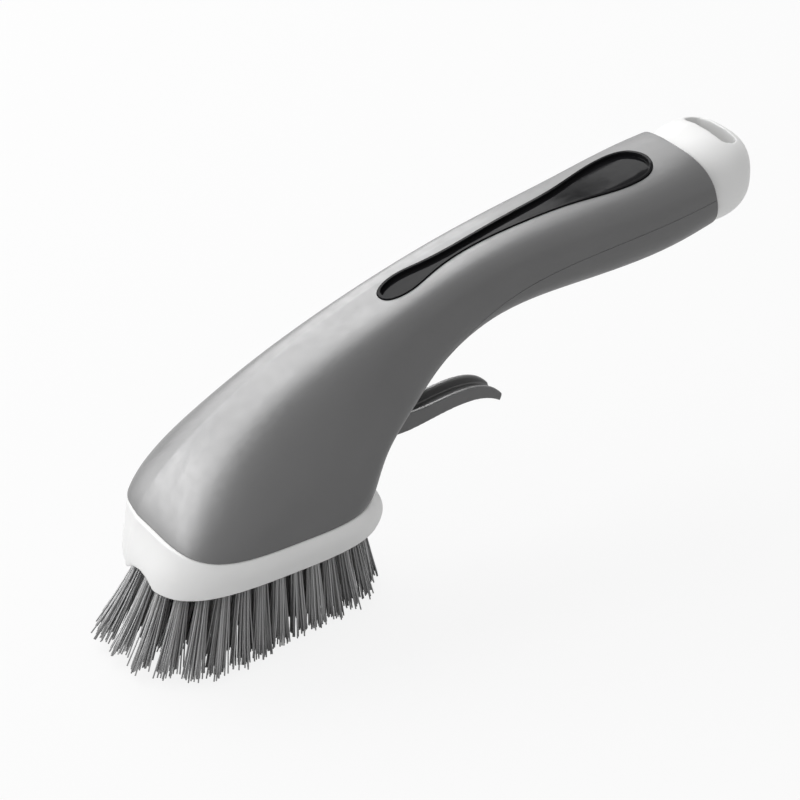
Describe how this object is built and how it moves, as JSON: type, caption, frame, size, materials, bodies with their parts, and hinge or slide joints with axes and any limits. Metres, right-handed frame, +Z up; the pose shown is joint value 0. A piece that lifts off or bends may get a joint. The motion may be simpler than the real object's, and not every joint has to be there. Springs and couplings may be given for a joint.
{
  "type": "dish wand",
  "caption": "Soap-dispensing dish brush with an arched hollow handle, smoked level window, squeeze lever, pull-off end cap and a detachable brush head.",
  "frame": {"origin": "tip of the tuft at the middle of the head, in the level plane of the bristle tips", "axes": "+X from the head along the handle to the cap, +Y to the left of that, +Z up from the bristle tips"},
  "size_m": [0.2248, 0.0586, 0.1146],
  "materials": {
    "grey_shell": "satin moulded",
    "white_plastic": "semi-gloss moulded",
    "smoked_window": "polished smoked",
    "grey_bristle": "drawn nylon",
    "seal_rubber": "matt",
    "hose_silicone": "translucent",
    "valve_plastic": "moulded",
    "steel": "drawn"
  },
  "bodies": {
    "handle": {"upper_shell": "grey_shell", "lower_shell": "grey_shell", "window_lens": "smoked_window", "window_gasket": "seal_rubber", "bulkhead": "valve_plastic", "bulkhead_seal": "seal_rubber", "outlet_hose": "hose_silicone", "hose_clamps": "steel", "valve_frame": "valve_plastic", "frame_screws": "steel", "valve_body": "valve_plastic", "valve_gland": "valve_plastic", "return_spring": "steel", "pivot_pin": "steel", "filler_collar": "white_plastic"},
    "trigger": {"trigger": "grey_shell"},
    "plunger": {"plunger": "valve_plastic", "plunger_seal": "seal_rubber"},
    "cap": {"end_cap": "white_plastic", "cap_plug": "white_plastic", "cap_o_ring": "seal_rubber"},
    "brush_head": {"brush_block": "white_plastic", "outer_tufts": "grey_bristle", "middle_tufts": "grey_bristle", "inner_tufts": "grey_bristle", "tuft_anchors": "steel", "spout_grommet": "seal_rubber"}
  },
  "joints": [
    {"name": "trigger_squeeze", "type": "hinge", "parent": "handle", "child": "trigger", "pos_m": [0.027, 0, 0.056], "axis": [0, -1, 0], "range_deg": [0, 12], "stiffness_Nm_per_rad": 0.25, "springref_deg": -11.46},
    {"name": "plunger_press", "type": "slide", "parent": "handle", "child": "plunger", "axis": [0, 0, -1], "range_m": [0, 0.0036], "deforming": ["return_spring"]},
    {"name": "cap_pull", "type": "slide", "parent": "handle", "child": "cap", "axis": [1, 0, 0], "range_m": [0, 0.032]},
    {"name": "head_pull", "type": "slide", "parent": "handle", "child": "brush_head", "axis": [0, 0, -1], "range_m": [0, 0.03]}
  ],
  "couplings": [
    {"joint": "plunger_press", "follows": "trigger_squeeze", "m_per_rad": 0.0165}
  ]
}
